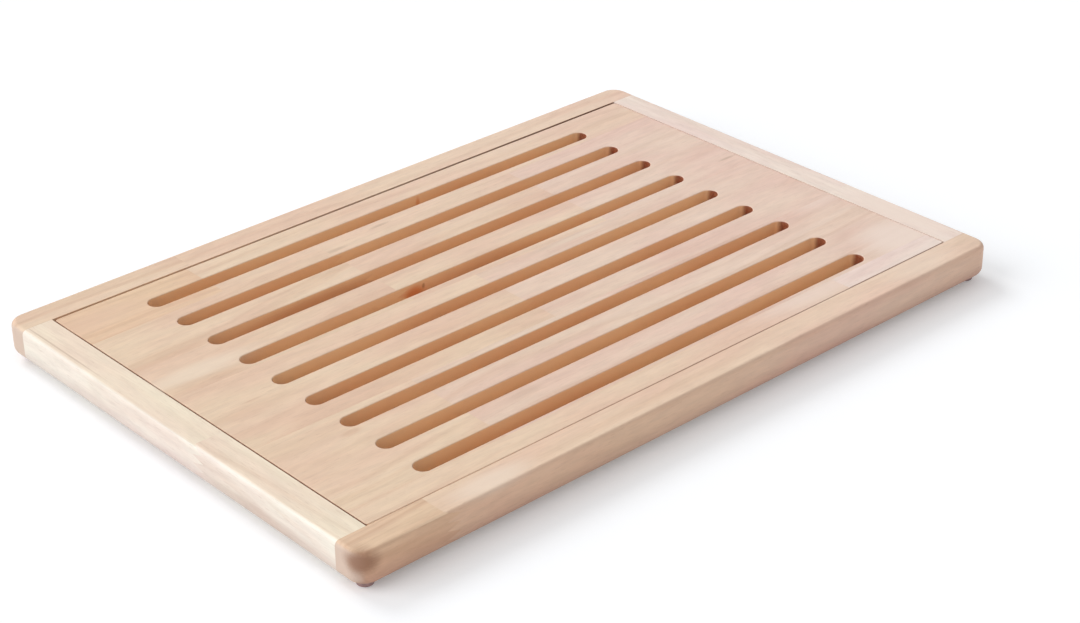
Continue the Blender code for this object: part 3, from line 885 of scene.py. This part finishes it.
def rail_sides(nodes, base, place, along_board, rail):
    """A rail's wood with its outer face, its arris and its lower edge, which differ a little from its top.

    A long rail's inner side has painted shade from the gap above the grid, darker towards the right. The
    outer faces are partly their own tone and partly painted light, the arrises carry a painted highlight or
    painted shade, and towards the table the outer faces have painted shade.
    """
    runs_across = rail.startswith("short_rail")
    facing_out = nodes.facing(0 if runs_across else 1)
    # Painted shade in the gap above the grid, on a long rail's inner side, darker towards the right
    if not runs_across:
        across_board = nodes.calculate("ABSOLUTE", nodes.axis(place, 1))
        inner_gap_shade = nodes.calculate("LESS_THAN", across_board, RAIL_INSIDE)
        inner_gap_shade = nodes.times(inner_gap_shade, nodes.limits(facing_out, 0.5, 0.9))
        inner_gap_shade = nodes.times(inner_gap_shade, nodes.limits(along_board, 0.0, 0.2, 0.05, 0.75))
        base = nodes.blend(inner_gap_shade, base, settings().finishes.cut_end_and_gap_shade)
    outer_face = nodes.limits(facing_out, 0.15, 0.75 if runs_across else 0.6)
    height = nodes.axis(place, 2)
    # Partly the outer faces' own tone, partly painted light: a warmer shade on the near face, a whiter lit
    # look on the left face
    if rail in SIDE_TONE_AND_LIGHT:
        base = nodes.tinted(base, SIDE_TONE_AND_LIGHT[rail], outer_face)
    # A painted highlight along the left rail's upper arris and painted shade along the long rails' rounded
    # edges
    if rail in ARRIS_HIGHLIGHT_AND_SHADE:
        arris = nodes.limits(facing_out, 0.55, 0.97, 1.0, 0.0)
        arris = nodes.times(arris, nodes.limits(facing_out, 0.12, 0.5))
        if runs_across:
            arris = nodes.times(arris, nodes.limits(height, *ARRIS_HIGHLIGHT_HEIGHTS))
        base = nodes.tinted(base, ARRIS_HIGHLIGHT_AND_SHADE[rail], arris)
    # Painted shade: the outer faces darken towards the table
    painted_low_shade_share = nodes.times(outer_face, nodes.limits(height, *LOW_SHADE_HEIGHTS, 1.0, 0.0))
    return nodes.tinted(base, PAINTED_LOW_SHADE, painted_low_shade_share)


def plywood():
    """A sanded plywood panel: rotary-cut veneer with wide wandering figure, and plies on its edges."""
    finishes = settings().finishes
    nodes = Nodes(bpy.data.materials.new("tray_plywood"))
    place = nodes.millimetres()
    sway = nodes.grain(place, 0.004, 0.012)
    bands = nodes.calculate("MULTIPLY_ADD", sway, 9.0, nodes.times(nodes.axis(place, 1), 0.035))
    veneer = nodes.add("TexNoise", {"W": bands, "Scale": 1.0, "Detail": 2.0}, noise_dimensions="1D")
    fibre = nodes.grain(place, 0.05, 1.1, detail=3.0)
    base = nodes.blend(nodes.limits(veneer, 0.4, 0.75, end=0.5), finishes.panel, finishes.figure)
    base = nodes.shaded(base, nodes.limits(fibre, 0.2, 0.8, 0.93, 1.05))
    plies = nodes.calculate("PINGPONG", nodes.axis(place, 2), 0.5)
    edge = nodes.times(nodes.limits(nodes.facing(2), 0.2, 0.8, 1.0, 0.0), plies)
    base = nodes.blend(edge, base, finishes.end_grain)
    return nodes.surface(base, 0.6, fibre, depth=0.03, strength=0.3)


def turned_beech():
    """Raw dowel wood with short fibres along Y."""
    finishes = settings().finishes
    nodes = Nodes(bpy.data.materials.new("dowel_wood"))
    place = nodes.millimetres(-math.pi / 2)
    fibre = nodes.grain(place, 0.2, 2.4, detail=3.0)
    flecks = nodes.limits(nodes.grain(place, 0.5, 3.0, detail=1.0), 0.58, 0.7, end=0.45)
    base = nodes.blend(nodes.limits(fibre, 0.3, 0.75, end=0.4), finishes.honey, finishes.figure)
    base = nodes.blend(flecks, base, finishes.pore)
    return nodes.surface(base, 0.7, fibre, depth=0.05, strength=0.4)


def rubber():
    """Matt moulded rubber, a little dusty, with a fine grain from its mould."""
    nodes = Nodes(bpy.data.materials.new("foot_rubber"))
    place = nodes.millimetres()
    cloud = nodes.limits(nodes.noise(place, 0.5, detail=3.0), 0.35, 0.7, 0.85, 1.15)
    base = nodes.shaded(settings().finishes.rubber, cloud)
    grain = nodes.noise(place, 6.0)
    roughness = nodes.limits(grain, 0.3, 0.7, 0.66, 0.8)
    return nodes.surface(base, roughness, grain, depth=0.05, strength=0.3)


# Operators
class MakeRails(Operator):
    """Make the four rails, each from two finger-jointed blocks"""

    bl_idname = "bread_board.make_rails"
    bl_label = "Rails"

    def execute(self, context):
        cutters = (stem_holes(), floor_groove(), dowel_holes())
        outside = envelope()
        trimmers = [(outside, "INTERSECT")] + [(cutter, "DIFFERENCE") for cutter in cutters]
        for name, turns, joint_share in RAILS:
            make_rail(name, turns, joint_share, trimmers)
        discard([outside, *cutters])
        return {"FINISHED"}


class MakeGrid(Operator):
    """Make the slotted grid from its staves and blocks"""

    bl_idname = "bread_board.make_grid"
    bl_label = "Grid"

    def execute(self, context):
        sizes, seam = settings().grid, settings().frame.seam
        low, high = grid_box()
        rounding = (sizes.corner_radius, sizes.edge_radius, sizes.edge_radius)
        blank = guide("grid_blank", rounded_block(low, high, *rounding, corner_steps=8, edge_steps=5))
        slot = slot_cutter()
        slots = guide("slots", joined([moved(slot, (0, y, 0)) for y in slot_centres()]))
        lines = glue_lines()
        for stave, (far, near) in enumerate(zip(lines, lines[1:])):
            ends = [plain_end(low[0] - OVERRUN, low[2], high[2])]
            for share in STAVE_JOINT_SHARES[stave]:
                place = share_of(low[0], high[0], share)
                ends.append(fingers(place, low[2], high[2], sizes.finger_length, sizes.finger_count))
            ends.append(plain_end(high[0] + OVERRUN, low[2], high[2]))
            for index in range(len(ends) - 1):
                outline = block_outline(ends[index], ends[index + 1], seam if index else 0)
                is_middle = 0 < index < len(ends) - 2
                for part, (beyond, before) in enumerate(stave_cuts(far, near, is_middle)):
                    node = f"grid_stave_{stave + 1}_block_{index + 1}"
                    node += f"_bar_{part + 1}" if is_middle else ""
                    shape = stave_piece(outline, beyond, before, seam)
                    piece = cut_piece(f"{node}_wood", shape, ((blank, "INTERSECT"), (slots, "DIFFERENCE")))
                    finish_piece(piece, node, "grid", wood_for(node))
        discard([blank, slots])
        return {"FINISHED"}


class MakeFloor(Operator):
    """Give the tray's floor panel its plywood"""

    bl_idname = "bread_board.make_floor"
    bl_label = "Tray floor"

    def execute(self, context):
        panel = frame["nodes"]["tray_floor"]
        panel.data.materials.clear()
        panel.data.materials.append(plywood())
        return {"FINISHED"}


class MakeDowels(Operator):
    """Make the fluted dowels that hold the corners"""

    bl_idname = "bread_board.make_dowels"
    bl_label = "Dowels"

    def execute(self, context):
        sizes = settings().fittings
        radius, chamfer = sizes.dowel_diameter / 2, sizes.dowel_chamfer
        profile = (
            (radius - chamfer, 0),
            (radius, chamfer),
            (radius, sizes.dowel_length - chamfer),
            (radius - chamfer, sizes.dowel_length),
        )
        shape = turned(profile, 4 * sizes.flute_count, sizes.flute_count, sizes.flute_depth)
        material = turned_beech()
        for node, place, way in dowel_places():
            piece = guide(f"{node}_pin", moved(laid_along_y(shape, way), place))
            finish_piece(piece, node, "tray", material)
        return {"FINISHED"}


class MakeFeet(Operator):
    """Make the four rubber feet with their stems"""

    bl_idname = "bread_board.make_feet"
    bl_label = "Feet"

    def execute(self, context):
        sizes = settings().fittings
        radius, stem, edge = sizes.foot_diameter / 2, sizes.stem_diameter / 2, sizes.foot_edge
        rise = np.linspace(0, np.pi / 2, FOOT_EDGE_POINTS)
        across = radius - sizes.foot_taper - edge * (1 - np.sin(rise))
        profile = list(zip(across, edge * (1 - np.cos(rise))))
        button_top = sizes.foot_height - sizes.foot_seat
        stem_top = sizes.foot_height + sizes.stem_length
        profile += [(radius, button_top), (stem, button_top), (stem, stem_top - sizes.stem_chamfer)]
        profile.append((stem - sizes.stem_chamfer, stem_top))
        shape = turned(profile, FOOT_SIDES)
        material = rubber()
        for node, place in foot_places():
            finish_piece(guide(f"{node}_rubber", moved(shape, place)), node, "tray", material)
        return {"FINISHED"}


def distant_lamp(name, back, strength, spread):
    """A softbox far off in one direction, as wide as its spread."""
    lamp = bpy.data.lights.new(name, "SUN")
    lamp.energy = strength
    lamp.angle = spread
    linked(name, lamp).matrix_world = facing(np.array(back), (0, 0, 0))


def facing(back, place, roll=0.0):
    """The matrix of a camera or a lamp at a place, with its back in that direction, rolled about it."""
    back = back / np.linalg.norm(back)
    level = np.cross((0, 0, 1), back)
    level /= np.linalg.norm(level)
    upright = np.cross(back, level)
    right = math.cos(roll) * level + math.sin(roll) * upright
    up = -math.sin(roll) * level + math.cos(roll) * upright
    matrix = Matrix.Identity(4)
    for row in range(3):
        matrix[row] = (right[row], up[row], back[row], place[row])
    return matrix


# Where the lamps are, seen from the board, and the camera's angles in degrees: its azimuth, elevation and
# roll. The camera looks at its target from that distance, in metres. The sensor and the lens are in
# millimetres.
KEY_DIRECTION, BACK_DIRECTION = (-0.92, 0.5, 0.6), (0.0, 1.0, 0.9)
CAMERA_ANGLES = (-41.753, 28.815, -0.836)
CAMERA_TARGET, CAMERA_DISTANCE, FAR_CLIP = (-0.0128, -0.0402, 0.024), 1.3301, 50
SENSOR_WIDTH, FOCAL_LENGTH = 36, 78.86


class MakeStage(Operator):
    """Make the floor, the lamps and the camera"""

    bl_idname = "bread_board.make_stage"
    bl_label = "Stage"

    def execute(self, context):
        choices = settings().stage
        self.make_floor(choices)
        self.make_world(choices)
        distant_lamp("key_lamp", KEY_DIRECTION, choices.key, choices.key_spread)
        distant_lamp("back_lamp", BACK_DIRECTION, choices.back, choices.back_spread)
        self.make_camera(context.scene)
        context.scene.view_settings.view_transform = "Standard"
        return {"FINISHED"}

    def seen_directly(self, nodes):
        """1 where the camera sees a surface, itself or in a reflection or through glass."""
        path = nodes.tree.nodes.new("ShaderNodeLightPath").outputs
        either = nodes.calculate("MAXIMUM", path["Is Camera Ray"], path["Is Glossy Ray"])
        return nodes.calculate("MAXIMUM", either, path["Is Transmission Ray"])

    def make_floor(self, choices):
        reach = choices.floor_reach
        points = np.array(((-1, -1, 0), (1, -1, 0), (1, 1, 0), (-1, 1, 0))) * reach
        mesh = bpy.data.meshes.new("floor")
        mesh.from_pydata(points.tolist(), [], [(0, 1, 2, 3)])
        floor = linked("floor", mesh)
        nodes = Nodes(bpy.data.materials.new("pale_floor"))
        matt = nodes.add("BsdfDiffuse", {"Color": (*choices.floor_colour, 1)})
        strength = nodes.times(self.seen_directly(nodes), choices.floor_glow)
        glow = nodes.add("Emission", {"Color": (1, 1, 1, 1), "Strength": strength})
        nodes.add("OutputMaterial", {"Surface": nodes.add("AddShader", {0: matt, 1: glow})})
        mesh.materials.append(nodes.owner)

    def make_world(self, choices):
        world = bpy.data.worlds.new("studio")
        nodes = Nodes(world)
        brightness = {"Value": self.seen_directly(nodes), "To Min": choices.sky, "To Max": 1.0}
        strength = nodes.add("MapRange", brightness)
        background = nodes.add("Background", {"Color": (1, 1, 1, 1), "Strength": strength})
        nodes.add("OutputWorld", {"Surface": background})
        bpy.context.scene.world = world

    def make_camera(self, scene):
        """The photograph's view, found from the board's corners."""
        azimuth, elevation, roll = (math.radians(degrees) for degrees in CAMERA_ANGLES)
        back = np.array((
            math.sin(azimuth) * math.cos(elevation),
            -math.cos(azimuth) * math.cos(elevation),
            math.sin(elevation),
        ))
        camera = bpy.data.cameras.new("camera")
        camera.sensor_width = SENSOR_WIDTH
        camera.lens = FOCAL_LENGTH
        camera.clip_end = FAR_CLIP
        scene.camera = linked("camera", camera)
        scene.camera.matrix_world = facing(back, np.array(CAMERA_TARGET) + back * CAMERA_DISTANCE, roll)


class BreadBoardPanel(Panel):
    """The sizes and finishes of the bread board, and its pieces"""

    bl_idname = "VIEW3D_PT_bread_board"
    bl_label = "Bread board"
    bl_space_type = "VIEW_3D"
    bl_region_type = "UI"
    bl_category = "Bread board"

    def draw(self, context):
        for operator in OPERATORS:
            self.layout.operator(operator.bl_idname)
        for group in ("frame", "floor", "grid", "fittings", "finishes", "stage"):
            box = self.layout.box()
            values = getattr(settings(), group)
            box.label(text=group.capitalize())
            for name in type(values).__annotations__:
                box.prop(values, name)


GROUPS = (FrameSizes, FloorSizes, GridSizes, FittingSizes, Finishes, StageSettings, BreadBoardSettings)
OPERATORS = (MakeRails, MakeGrid, MakeFloor, MakeDowels, MakeFeet, MakeStage)
CLASSES = (*GROUPS, *OPERATORS, BreadBoardPanel)


def register():
    for part in CLASSES:
        bpy.utils.register_class(part)
    bpy.types.Scene.bread_board = PointerProperty(type=BreadBoardSettings)


def unregister():
    del bpy.types.Scene.bread_board
    for part in reversed(CLASSES):
        bpy.utils.unregister_class(part)


def main():
    register()
    for operator in ("make_rails", "make_grid", "make_floor", "make_dowels", "make_feet", "make_stage"):
        getattr(bpy.ops.bread_board, operator)()


if __name__ == "__main__":
    main()
